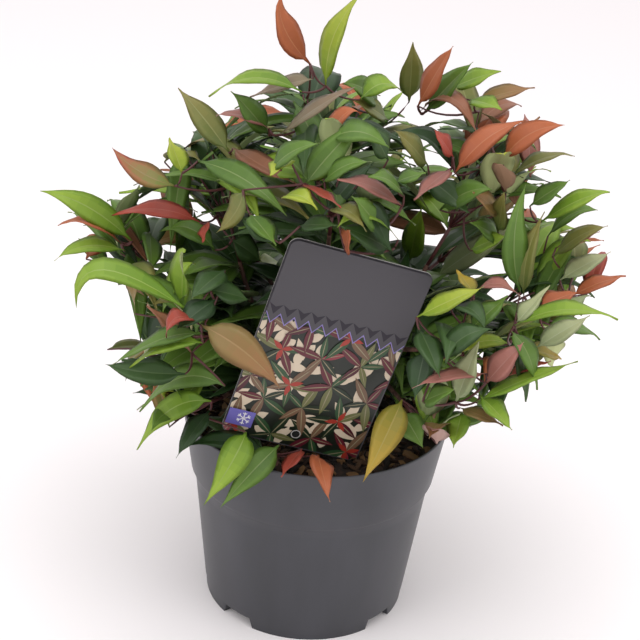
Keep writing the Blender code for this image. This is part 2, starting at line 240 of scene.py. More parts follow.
def mixed(name, low, high, scale, roughness, bump, detail, stretch=(1, 1, 1), spread=(0.35, 0.65)):
    """A surface whose colour wanders between two, with a fine relief."""
    relief_depth = 0.0004
    made = principled(name, low, roughness)
    tree = made.node_tree
    shader = tree.nodes["Principled BSDF"]
    place = tree.nodes.new("ShaderNodeTexCoord")
    mapping = tree.nodes.new("ShaderNodeMapping")
    mapping.inputs["Scale"].default_value = stretch
    cloud = tree.nodes.new("ShaderNodeTexNoise")
    cloud.inputs["Scale"].default_value = scale
    cloud.inputs["Detail"].default_value = detail
    ramp = tree.nodes.new("ShaderNodeValToRGB")
    for element, position, colour in zip(ramp.color_ramp.elements, spread, (low, high)):
        element.position = position
        element.color = (*colour, 1)
    relief = tree.nodes.new("ShaderNodeBump")
    relief.inputs["Strength"].default_value = bump
    relief.inputs["Distance"].default_value = relief_depth
    for source, output, target, socket in (
        (place, "Object", mapping, "Vector"),
        (mapping, "Vector", cloud, "Vector"),
        (cloud, "Fac", ramp, "Fac"),
        (ramp, "Color", shader, "Base Color"),
        (cloud, "Fac", relief, "Height"),
        (relief, "Normal", shader, "Normal"),
    ):
        tree.links.new(source.outputs[output], target.inputs[socket])
    return made


class Piece:
    """A mesh that grows face by face, with a material for each face."""

    def __init__(self, name):
        self.name = name
        self.verts, self.faces, self.slots, self.materials = [], [], [], []

    def add(self, verts, faces, material):
        first = len(self.verts)
        self.verts.extend(verts)
        for face in faces:
            self.face([first + i for i in face], material)

    def face(self, indices, material):
        if material not in self.materials:
            self.materials.append(material)
        self.faces.append(indices)
        self.slots.append(self.materials.index(material))

    def build(self, slot, replaced, sharp=None):
        """The object; its edges are sharp from this many degrees on."""
        mesh = bpy.data.meshes.new(self.name)
        mesh.from_pydata([tuple(v) for v in self.verts], [], self.faces)
        for material in self.materials:
            mesh.materials.append(material)
        mesh.polygons.foreach_set("material_index", self.slots)
        mesh.shade_smooth()
        if sharp:
            mesh.set_sharp_from_angle(angle=radians(sharp))
        mesh.update()
        obj = linked(self.name, mesh)
        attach(obj, "root")
        if replaced:
            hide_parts(*replaced)


def linked(name, data):
    made = bpy.data.objects.new(name, data)
    bpy.context.scene.collection.objects.link(made)
    return made


def rise(height):
    return Vector((0, 0, height))


def around(radius, angle, height=0):
    """A point at this distance and turn round the pot's axis."""
    return Vector((radius * cos(angle), radius * sin(angle), height))


def square_to(direction, other, least):
    """The direction square to both, or +X where they are almost one."""
    side = direction.cross(other)
    return side.normalized() if side.length > least else Vector((1, 0, 0))


def bend(start, control, end, share):
    return start * (1 - share) ** 2 + control * 2 * share * (1 - share) + end * share**2


def curve(start, control, end, steps):
    return [bend(start, control, end, i / steps) for i in range(steps + 1)]


def control_of(start, middle, end):
    """The control point of the curve that passes through middle halfway."""
    return middle * 2 - (start + end) / 2


def wall_faces(rings, sides):
    faces = []
    for ring in range(rings - 1):
        a, b = ring * sides, (ring + 1) * sides
        for step in range(sides):
            after = (step + 1) % sides
            faces.append((a + step, a + after, b + after, b + step))
    return faces


def tube(piece, path, radii, sides, material, relief=0.0):
    verts = []
    guide, almost_along, grain_scale, grain_reach = Vector((0.31, 0.17, 0.93)), 0.95, 260, 3
    last = len(path) - 1
    for index, (place, radius) in enumerate(zip(path, radii)):
        along = (path[min(index + 1, last)] - path[max(index - 1, 0)]).normalized()
        side = along.cross(guide if abs(along.dot(guide)) < almost_along else Vector((1, 0, 0))).normalized()
        other = along.cross(side)
        for step in range(sides):
            angle = FULL_TURN * step / sides
            out = side * cos(angle) + other * sin(angle)
            grain = 1 + relief * noise((place + out * radius * grain_reach) * grain_scale)
            verts.append(place + out * radius * grain)
    ends = [tuple(range(sides))[::-1], tuple(last * sides + i for i in range(sides))]
    piece.add(verts, wall_faces(len(path), sides) + ends, material)


# Camera and studio
AHEAD = Vector((0, cos(CAMERA_DOWN), -sin(CAMERA_DOWN)))
LEVEL = Vector((1, 0, 0))
ABOVE = LEVEL.cross(AHEAD)
RIGHT = LEVEL * cos(CAMERA_LEAN) + ABOVE * sin(CAMERA_LEAN)
UP = ABOVE * cos(CAMERA_LEAN) - LEVEL * sin(CAMERA_LEAN)


def ray(pixel):
    """The direction in which the camera sees this pixel."""
    across = (pixel[0] - IMAGE_SIDE / 2) / FOCAL_PIXELS
    down = (pixel[1] - IMAGE_SIDE / 2) / FOCAL_PIXELS
    return (AHEAD + RIGHT * across - UP * down).normalized()


def on_plane(pixel, y):
    """The point at this depth that the camera sees at this pixel."""
    towards = ray(pixel)
    return CAMERA_PLACE + towards * ((y - CAMERA_PLACE.y) / towards.y)


def to_pixel(place):
    local = place - CAMERA_PLACE
    depth = local.dot(AHEAD)
    return (
        IMAGE_SIDE / 2 + FOCAL_PIXELS * local.dot(RIGHT) / depth,
        IMAGE_SIDE / 2 - FOCAL_PIXELS * local.dot(UP) / depth,
    )


def make_camera():
    data = bpy.data.cameras.new("camera")
    data.lens = FOCAL_PIXELS / IMAGE_SIDE * SENSOR
    data.sensor_width = SENSOR
    data.clip_start = 0.02
    data.clip_end = 60
    camera = linked("camera", data)
    turn = Matrix((RIGHT, UP, -AHEAD)).transposed().to_4x4()
    camera.matrix_world = Matrix.Translation(CAMERA_PLACE) @ turn
    bpy.context.scene.camera = camera


def make_light(name, place, size, watts):
    data = bpy.data.lights.new(name, "AREA")
    data.shape = "SQUARE"
    data.size = size
    data.energy = watts
    light = linked(name, data)
    light.location = place
    light.rotation_mode = "QUATERNION"
    light.rotation_quaternion = (Vector(place) - CROWN_MIDDLE).to_track_quat("Z", "Y")


def make_studio():
    scene = bpy.context.scene
    scene.view_settings.view_transform = "Standard"
    world = bpy.data.worlds.new("studio")
    world.use_nodes = True
    sky = world.node_tree.nodes["Background"]
    sky.inputs["Color"].default_value = (1.0, 0.975, 0.985, 1)
    sky.inputs["Strength"].default_value = 0.98
    scene.world = world
    make_light("softbox_over", (0.0, -0.25, 1.5), size=1.1, watts=7)
    make_light("softbox_left", (-1.2, -0.9, 0.9), size=0.9, watts=4)
    make_light("softbox_right", (1.3, -0.7, 0.8), size=0.9, watts=3)
    reach = 9.0
    mesh = bpy.data.meshes.new("floor")
    mesh.from_pydata([(x * reach, y * reach, 0) for x, y in SQUARE], [], [(0, 1, 2, 3)])
    mesh.materials.append(principled("floor", (0.93, 0.90, 0.905), roughness=0.9, specular=0.1))
    floor = linked("floor", mesh)


# Pot and soil


def pot_profile():
    """(radius, height) from the middle of the bottom, up the inside, over the rim, to the underside."""
    bottom, slope, collar_rise, ledge, flare, flare_height = 0.0015, 0.0028, 0.0018, 0.0001, 0.0006, 0.0065
    centre = 0.0001
    plate = FOOT_HEIGHT + bottom
    body_low = FOOT_RADIUS + (BODY_TOP_RADIUS - FOOT_RADIUS) * FOOT_HEIGHT / COLLAR_FOOT
    foot_inner = FOOT_RADIUS - FOOT_WIDTH
    return (
        (centre, bottom),
        (PAD_RADIUS - WALL, bottom),
        (PAD_RADIUS + slope, plate),
        (body_low - WALL, plate),
        (BODY_TOP_RADIUS - WALL, COLLAR_FOOT),
        (COLLAR_FOOT_RADIUS - WALL, COLLAR_FOOT + collar_rise),
        *((RIM_RADIUS + out, POT_HEIGHT + up) for out, up in RIM_EDGE),
        *((COLLAR_FOOT_RADIUS + out, COLLAR_FOOT + up) for out, up in COLLAR_EDGE),
        *((BODY_TOP_RADIUS + out, COLLAR_FOOT + up) for out, up in SHOULDER_EDGE),
        (body_low + ledge, FOOT_HEIGHT),
        (FOOT_RADIUS + flare, flare_height),
        (FOOT_RADIUS, 0),
        (foot_inner, 0),
        (foot_inner - flare, FOOT_HEIGHT),
        (PAD_RADIUS + PAD_SLOPE, FOOT_HEIGHT),
        (PAD_RADIUS, 0),
        (centre, 0),
    )


def in_notch(angle):
    spread = 360 / NOTCH_COUNT
    off = (degrees(angle) - NOTCH_START_DEGREES + spread / 2) % spread - spread / 2
    return abs(off) < NOTCH_DEGREES / 2


def make_pot():
    surface = mixed(
        "pot_plastic", srgb("#2f3035"), srgb("#3b3c42"),
        scale=34, roughness=0.42, bump=0.10, detail=8, stretch=(1, 1, 0.35), spread=(0.3, 0.72),
    )
    sag, sags, sag_start = 0.0012, 3, 1.0
    piece = Piece("pot_shell")
    rows = []
    for radius, height in pot_profile():
        row = []
        for step in range(POT_STEPS):
            angle = FULL_TURN * step / POT_STEPS
            notched = height == 0 and radius > PAD_RADIUS + PAD_SLOPE and in_notch(angle)
            wave = 1 + sag * sin(sags * angle + sag_start) * (height / POT_HEIGHT)
            row.append(len(piece.verts))
            piece.verts.append(around(radius * wave, angle, NOTCH_HEIGHT if notched else height))
        rows.append(row)
    for low, high in zip(rows, rows[1:]):
        for step in range(POT_STEPS):
            after = (step + 1) % POT_STEPS
            piece.face((low[step], high[step], high[after], low[after]), surface)
    piece.build("pot", ["pot"], sharp=32)


def chip(rng, piece, place, length, width, thick, material):
    """A bit of bark: a box whose corners wander."""
    tilt = 0.35
    turn = Euler((rng.gauss(0, tilt), rng.gauss(0, tilt), rng.uniform(0, FULL_TURN))).to_matrix()
    verts = []
    for sx, taper in CHIP_SECTIONS:
        for sy, sz in SQUARE:
            corner = Vector((sx * length / 2, sy * width * taper / 2, sz * thick * taper / 2))
            corner *= rng.uniform(0.85, 1.15)
            verts.append(place + turn @ corner)
    sides = len(SQUARE)
    ends = [tuple(range(sides))[::-1], tuple(range(len(verts) - sides, len(verts)))]
    piece.add(verts, ends + wall_faces(len(CHIP_SECTIONS), sides), material)


def make_soil():
    rng = random.Random(SEED + 1)
    ground = mixed(
        "soil_peat", srgb("#120c08"), srgb("#2c1d12"), scale=420, roughness=0.95, bump=0.9, detail=6
    )
    barks = [principled("chip_" + kind, srgb(look[0]), look[1], specular=0.3) for kind, look in CHIPS.items()]
    piece = Piece("soil_mix")
    turns = [FULL_TURN * step / SOIL_STEPS for step in range(SOIL_STEPS)]
    lump_sizes = ((0.0011, 110), (0.0007, 330))
    middle_drop, drop, foot_gap, scatter = 0.001, 0.0012, 0.002, 0.001
    piece.verts.append(rise(SOIL_TOP - middle_drop))
    for ring in range(1, SOIL_RINGS + 1):
        for angle in turns:
            place = around(SOIL_RADIUS * ring / SOIL_RINGS, angle)
            lumps = sum(height * noise(place * scale) for height, scale in lump_sizes)
            piece.verts.append(place + rise(SOIL_TOP - drop + lumps))
    piece.verts.extend(around(FOOT_RADIUS - foot_gap, angle, SOIL_FLOOR) for angle in turns)
    for step in range(SOIL_STEPS):
        after = (step + 1) % SOIL_STEPS
        piece.face((0, 1 + step, 1 + after), ground)
        for ring in range(SOIL_RINGS):
            a, b = 1 + ring * SOIL_STEPS, 1 + (ring + 1) * SOIL_STEPS
            piece.face((a + step, b + step, b + after, a + after), ground)
    last = 1 + SOIL_RINGS * SOIL_STEPS
    piece.face(tuple(last + i for i in range(SOIL_STEPS))[::-1], ground)
    for _ in range(CHIP_COUNT):
        radius = SOIL_RADIUS * sqrt(rng.uniform(0.02, 0.94))
        angle = rng.uniform(0, FULL_TURN)
        place = around(radius, angle, SOIL_TOP + rng.uniform(-scatter, scatter))
        length = rng.choice(CHIP_LENGTHS) * rng.uniform(0.7, 1.1)
        width = length * rng.uniform(0.25, 0.6)
        thick = rng.uniform(0.0007, 0.0018)
        chip(rng, piece, place, length, width, thick, rng.choice(barks))
    piece.build("soil", ["soil"], sharp=40)


# Label


def card_look(name):
    colour, *finish = CARD_LOOKS[name]
    return principled("card_" + name, srgb(colour), *finish)


def card_point(across, up, out):
    """A point of the label: across and up its face from the middle of its foot, and out of it."""
    return CARD_FOOT + CARD_TURN.to_matrix() @ Vector((across, -out, up))


def card_outline(inset=0.0):
    half, corner = CARD_WIDTH / 2, CARD_CORNER
    points = []
    for x, y, start in (
        (half - corner, corner, -90),
        (half - corner, CARD_HEIGHT - corner, 0),
        (corner - half, CARD_HEIGHT - corner, 90),
        (corner - half, corner, 180),
    ):
        for step in range(CORNER_STEPS + 1):
            angle = radians(start + step * 90 / CORNER_STEPS)
            points.append((x + (corner - inset) * cos(angle), y + (corner - inset) * sin(angle)))
    return points


def clipped(points, a, b):
    """The part of a flat shape to the left of the line from a to b."""

    def leftness(point):
        return (b[0] - a[0]) * (point[1] - a[1]) - (b[1] - a[1]) * (point[0] - a[0])

    kept = []
    for index, point in enumerate(points):
        before = points[index - 1]
        here, there = leftness(point), leftness(before)
        if (here >= 0) != (there >= 0):
            share = there / (there - here)
            kept.append(tuple(p + (q - p) * share for p, q in zip(before, point)))
        if here >= 0:
            kept.append(point)
    return kept


def printed(piece, points, depth, material, bounds):
    """A flat printed shape on the label's face, cut to these bounds."""
    for a, b in zip(bounds, bounds[1:] + bounds[:1]):
        points = clipped(points, a, b)
        if len(points) < 3:
            return
    count = len(points)
    middle = (sum(p[0] for p in points) / count, sum(p[1] for p in points) / count)
    verts = [card_point(*middle, depth)] + [card_point(*p, depth) for p in points]
    piece.add(verts, [(0, 1 + i, 1 + (i + 1) % count) for i in range(count)], material)


def drawn_leaf(place, angle, length, width, share=1.0):
    """The outline of a simple pointed leaf, or of a strip along its middle."""
    steps, fullness = 10, 0.8
    upper = []
    for step in range(1, steps):
        t = step / steps
        upper.append((t * length, width / 2 * share * sin(pi * t**fullness)))
    lower = [(x, -y) for x, y in upper]
    points = [(0, 0)] + lower + [(length, 0)] + upper[::-1]
    level, steep = cos(angle), sin(angle)
    return [
        (place[0] + x * level - y * steep, place[1] + x * steep + y * level)
        for x, y in points[1:] + points[:1]
    ]


def drawn_strip(foot, angle, length, half):
    aim = Vector((cos(angle), sin(angle)))
    flank = Vector((-aim.y, aim.x)) * half
    end = foot + aim * length
    return [tuple(p) for p in (foot - flank, end - flank, end + flank, foot + flank)]


def print_picture(piece, face):
    """A generic pattern: pale buds, then rosettes of leaves and a few flowers over them."""
    bud_count, bud_width = 70, 0.005
    rows, columns, left, low, pitch, step_up, shift = 5, 4, -0.034, 0.006, 0.022, 0.0175, 0.003
    leaves, leaf_turn, leaf_sway, leaf_width = 5, 1.257, 0.15, 0.27
    rib_length, rib_width = 0.94, 0.12
    flower_every, petals, petal_start, petal_turn, petal_length, petal_width = 3, 3, 0.6, 2.1, 0.0075, 0.0028
    rng = random.Random(SEED + 5)
    inks = [card_look(f"ink_{index}") for index in range(len(INK_COLOURS))]
    area = clipped(face, (1, PICTURE_TOP), (-1, PICTURE_TOP))
    layer = CARD_THICKNESS / 2 + 3 * LAYER
    printed(piece, area, layer, card_look("ground"), face)
    for _ in range(bud_count):
        layer += THIN_LAYER
        place = (rng.uniform(-0.042, 0.038), rng.uniform(-0.004, PICTURE_TOP))
        bud = drawn_leaf(place, rng.uniform(0, DRAWN_TURN), rng.uniform(0.008, 0.016), bud_width)
        printed(piece, bud, layer, inks[BUD_INK], area)
    for row in range(rows):
        for column in range(columns):
            up = low + row * step_up + rng.uniform(-shift, shift)
            middle = (left + column * pitch + (row % 2) * pitch / 2, up)
            first = rng.uniform(0, DRAWN_TURN)
            for spoke in range(leaves):
                layer += 2 * THIN_LAYER
                angle = first + spoke * leaf_turn + rng.uniform(-leaf_sway, leaf_sway)
                length = rng.uniform(0.013, 0.020)
                width = length * leaf_width
                ink = inks[rng.choice(LEAF_INKS)]
                printed(piece, drawn_leaf(middle, angle, length, width), layer, ink, area)
                rib = drawn_leaf(middle, angle, length * rib_length, width, rib_width)
                printed(piece, rib, layer + THIN_LAYER, card_look("rib"), area)
            if (row + column) % flower_every == 0:
                for spoke in range(petals):
                    layer += 2 * THIN_LAYER
                    angle = first + petal_start + spoke * petal_turn
                    petal = drawn_leaf(middle, angle, petal_length, petal_width)
                    printed(piece, petal, layer, inks[FLOWER_INK], area)


def print_border(piece, layer, face):
    """The plain head, and the zigzag border between it and the picture."""
    teeth, side_gap, overlap, line_width = 10, 0.0008, 0.0001, 0.0009
    low, high = PICTURE_TOP - 0.0075, PICTURE_TOP - 0.0015
    band_top, band_middle, band_foot = high + 0.0062, high + 0.0042, high - 0.0004
    left = side_gap - CARD_WIDTH / 2
    pitch = (CARD_WIDTH / 2 - side_gap - left) / teeth
    plain, night, lilac = card_look("grey"), card_look("night"), card_look("lilac")
    printed(piece, clipped(face, (-1, high), (1, high)), layer, plain, face)
    for tooth in range(teeth):
        x = left + tooth * pitch
        centre, after = x + pitch / 2, x + pitch
        printed(piece, [(x, high + overlap), (centre, low), (after, high + overlap)], layer, plain, face)
        foot, middle = (centre, band_foot), (centre, band_middle)
        printed(piece, [(x, band_top), foot, middle], layer + 2 * LAYER, night, face)
        printed(piece, [middle, foot, (after, band_top)], layer + 2 * LAYER, night, face)
        for a, b in (((x, high), (centre, low)), ((centre, low), (after, high))):
            line = [a, b, (b[0], b[1] + line_width), (a[0], a[1] + line_width)]
            printed(piece, line, layer + 3 * LAYER, lilac, face)


def print_crystal(piece, layer, face):
    left, right, low, high = -0.0386, -0.0240, 0.0066, 0.0166
    centre = Vector((-0.0296, 0.0116))
    spokes, first, length, half_width = 6, 30, 0.0039, 0.0003
    fork_at, fork_turn, fork_length, fork_half_width = 0.0024, 0.8, 0.0015, 0.00025
    white = card_look("white")
    square = [(left, low), (right, low), (right, high), (left, high)]
    printed(piece, square, layer, card_look("violet"), face)
    for spoke in range(spokes):
        angle = radians(360 / spokes * spoke + first)
        printed(piece, drawn_strip(centre, angle, length, half_width), layer + 2 * LAYER, white, face)
        fork = centre + Vector((cos(angle), sin(angle))) * fork_at
        for turn in (-fork_turn, fork_turn):
            arm = drawn_strip(fork, angle + turn, fork_length, fork_half_width)
            printed(piece, arm, layer + 2 * LAYER, white, face)


def print_hole(piece, layer, face):
    """The punched hole near the label's foot, with a pale edge. The hole itself is a near-black disc, painted
    shade standing for the dark seen through it.
    """
    across, up, steps = 0.0010, 0.0095, 24
    # The second, near-black disc is painted shade: the dark seen through the hole
    for radius, look, lift in ((0.0027, "edge", LAYER), (0.0022, "hole", 3 * LAYER)):
        turns = [FULL_TURN * step / steps for step in range(steps)]
        disc = [(across + radius * cos(turn), up + radius * sin(turn)) for turn in turns]
        printed(piece, disc, layer + lift, card_look(look), face)


def make_label():
    piece = Piece("label_card")
    rim = card_outline()
    count = len(rim)
    half = CARD_THICKNESS / 2
    verts = [card_point(*p, half) for p in rim] + [card_point(*p, -half) for p in rim]
    sides = [(i, count + i, count + (i + 1) % count, (i + 1) % count) for i in range(count)]
    piece.add(verts, [tuple(range(count))], card_look("grey"))
    piece.add(verts, [tuple(range(count, 2 * count))[::-1]], card_look("back"))
    piece.add(verts, sides, card_look("edge"))
    face = card_outline(inset=0.0007)
    print_picture(piece, face)
    for print_part in (print_border, print_crystal, print_hole):
        print_part(piece, half + BORDER_LIFT, face)
    piece.build("label", ["plant_label"], sharp=30)


# Bark


def rings_of(node):
    """The middle and the radius of each ring of a limb of the frame, from its lower end."""
    points = np.array([v.co for v in NODES[node].data.vertices])
    spread = points - points.mean(0)
    axis = np.linalg.svd(spread, full_matrices=False)[2][0]
    if axis[2] < 0:
        axis = -axis
    along = spread @ axis
    order = np.argsort(along)
    gaps = np.diff(along[order])
    cuts = np.sort(np.argsort(gaps)[-(LIMB_RINGS - 1) :]) + 1
    rings = []
    for group in np.split(order, cuts):
        middle = points[group].mean(0)
        radius = np.linalg.norm(points[group] - middle, axis=1).mean()
        rings.append((Vector(middle), float(radius)))
    return rings


def smooth_rings(rings, steps):
    made = []
    for index in range(len(rings) - 1):
        a = rings[max(index - 1, 0)][0]
        b, c = rings[index][0], rings[index + 1][0]
        d = rings[min(index + 2, len(rings) - 1)][0]
        for step in range(steps):
            t = step / steps
            square, cube = 2 * a - 5 * b + 4 * c - d, 3 * b - a - 3 * c + d
            place = 0.5 * (2 * b + (c - a) * t + square * t**2 + cube * t**3)
            made.append((place, rings[index][1] * (1 - t) + rings[index + 1][1] * t))
    made.append(rings[-1])
    return made


def make_bark():
    """The stems and the boughs. Gives the path of each."""
    surface = mixed(
        "bark_brown", srgb("#3a2420"), srgb("#6a4a3c"),
        scale=300, roughness=0.75, bump=0.7, detail=6, stretch=(1, 1, 0.25),
    )
    limbs = {}
    for kind in ("stem", "bough"):
        names = sorted(n for n in NODES if n.startswith(kind + "_"))
        piece = Piece("bark_" + kind + "s")
        for name in names:
            rings = rings_of(name)
            if kind == "bough":
                mass = NODES["foliage_" + name.removeprefix("bough_")].data.vertices
                middle = sum((v.co for v in mass), Vector()) / len(mass)
                if (rings[0][0] - middle).length < (rings[-1][0] - middle).length:
                    rings = rings[::-1]
            fine = smooth_rings(rings, BARK_STEPS)
            path = [place for place, radius in fine]
            tube(piece, path, [radius for place, radius in fine], BARK_SIDES, surface, BARK_RELIEF)
            limbs[name] = path
        piece.build("bark", names)
    return limbs


# Leaves and twigs


def tint_material(tint, part):
    """The material of a rib, an underside, or one step from a blade's base to its tip."""
    base, tip, rib, under = (srgb(text) for text in TINTS[tint])
    name = f"leaf_{tint}_{part}"
    if part == "rib":
        rib_share = 0.45
        colour = [rib_share * a + (1 - rib_share) * b for a, b in zip(rib, base)]
        return principled(name, colour, roughness=0.45)
    if part == "under":
        return principled(name, under, roughness=0.6, specular=0.3)
    share = part / (TINT_STEPS - 1)
    colour = [a * (1 - share) + b * share for a, b in zip(base, tip)]
    return principled(name, colour, roughness=0.42, specular=0.32)


def leaf_half(share):
    """The blade's half width along it, where its widest is 1."""
    stalk_share, blade_share, stalk_half, tip_half = 0.07, 0.93, 0.06, 0.010
    base_power, tip_power, widest = 0.80, 1.55, 0.2235
    if share < stalk_share:
        return stalk_half
    t = (share - stalk_share) / blade_share
    return max(tip_half, (t**base_power * (1 - t) ** tip_power) / widest)


def leaf_points(rng, base, middle, tip, normal, width):
    """A blade's points: at each station the upper side with both edges, then the lower side."""
    control = control_of(base, middle, tip)
    curl, wave, waves, base_wave, ridge_wave = 0.6, 0.035, 15, 0.3, 0.010
    phase = rng.uniform(0, DRAWN_TURN)
    fold = rng.uniform(0.30, 0.62)
    points = []
    for station in range(LEAF_STATIONS + 1):
        t = station / LEAF_STATIONS
        place = bend(base, control, tip, t)
        along = ((control - base) * (1 - t) + (tip - control) * t).normalized()
        side = square_to(along, normal, 1e-4)
        up = side.cross(along)
        half = width / 2 * leaf_half(t)
        lower = []
        for s in LEAF_ACROSS:
            lift = half * (fold * abs(s) - curl * fold * s * s)
            lift += width * wave * sin(phase + t * waves + s) * abs(s) * (base_wave + t)
            if abs(s) == LEAF_RIDGE:
                lift += width * ridge_wave * (-1) ** station
            place_here = place + side * (s * half) + up * lift
            edge = abs(s) == 1
            points.append(place_here + up * (0 if edge else LEAF_THICKNESS / 2))
            if not edge:
                lower.append(place_here - up * LEAF_THICKNESS / 2)
        points.extend(lower)
    return points


def add_leaf(piece, rng, base, middle, tip, normal, width, tint):
    """A thin closed blade, whose colour runs from base to tip in ragged steps."""
    first = len(piece.verts)
    piece.verts.extend(leaf_points(rng, base, middle, tip, normal, width))
    count = len(LEAF_ACROSS)
    inner = count - 2
    stride = count + inner
    rib, under = tint_material(tint, "rib"), tint_material(tint, "under")
    jag = [rng.uniform(-0.9, 0.9) for _ in range(count - 1)]
    for station in range(LEAF_STATIONS):
        a = first + station * stride
        b = a + stride
        for strip in range(count - 1):
            at = (station + 0.5) / LEAF_STATIONS * TINT_STEPS - 0.5 + jag[strip]
            on_rib = LEAF_ACROSS[strip] == -LEAF_RIB
            upper = rib if on_rib else tint_material(tint, min(TINT_STEPS - 1, max(0, round(at))))
            piece.face((a + strip, a + strip + 1, b + strip + 1), upper)
            piece.face((a + strip, b + strip + 1, b + strip), upper)
            near = 0 if strip == 0 else count + strip - 1
            far = count - 1 if strip == count - 2 else count + strip
            piece.face((a + near, b + far, a + far), under)
            piece.face((a + near, b + near, b + far), under)
    ring = [*range(count), *range(stride - 1, count - 1, -1)]
    last = first + LEAF_STATIONS * stride
    piece.face([first + i for i in ring][::-1], rib)
    piece.face([last + i for i in ring], rib)


def meets_card(place, seen_margin):
    """Whether something here would cut the label or stand between it and the camera."""
    room, front_room, foot_room = 0.002, 0.003, 0.004
    local = CARD_INVERSE @ place
    beside = abs(local.x) < CARD_WIDTH / 2 + room
    if beside and -room < local.z < CARD_HEIGHT + room and abs(local.y) < front_room:
        return True
    if local.y >= 0:
        return False
    eye = CARD_INVERSE @ CAMERA_PLACE
    cross = local.lerp(eye, local.y / (local.y - eye.y))
    beside = abs(cross.x) < CARD_WIDTH / 2 + seen_margin
    return beside and -foot_room < cross.z < CARD_HEIGHT + seen_margin


def in_pot(place):
    """Whether something here would cut the pot's wall or the soil."""
    soil_room, rim_room, outside, rim_inside, rim_outside = 0.001, 0.002, 0.081, 0.0715, 0.0800
    radius = hypot(place.x, place.y)
    if place.z < SOIL_TOP + soil_room:
        return radius < outside
    return place.z < POT_HEIGHT + rim_room and rim_inside < radius < rim_outside


def in_room(place):
    low, high = CAD_BOX
    return all(low[i] - ROOM < place[i] < high[i] + ROOM for i in range(3))


def crown_trees():
    """The middle and a tree of the surface of each mass in the frame, and one tree of them all."""
    trees = {}
    verts, faces = [], []
    for name, node in sorted(NODES.items()):
        if not name.startswith("foliage_"):
            continue
        points = [v.co.copy() for v in node.data.vertices]
        polygons = [tuple(p.vertices) for p in node.data.polygons]
        middle = sum(points, Vector()) / len(points)
        trees[name.removeprefix("foliage_")] = (middle, BVHTree.FromPolygons(points, polygons))
        first = len(verts)
        verts.extend(points)
        faces.extend(tuple(first + i for i in p) for p in polygons)
    return trees, BVHTree.FromPolygons(verts, faces)


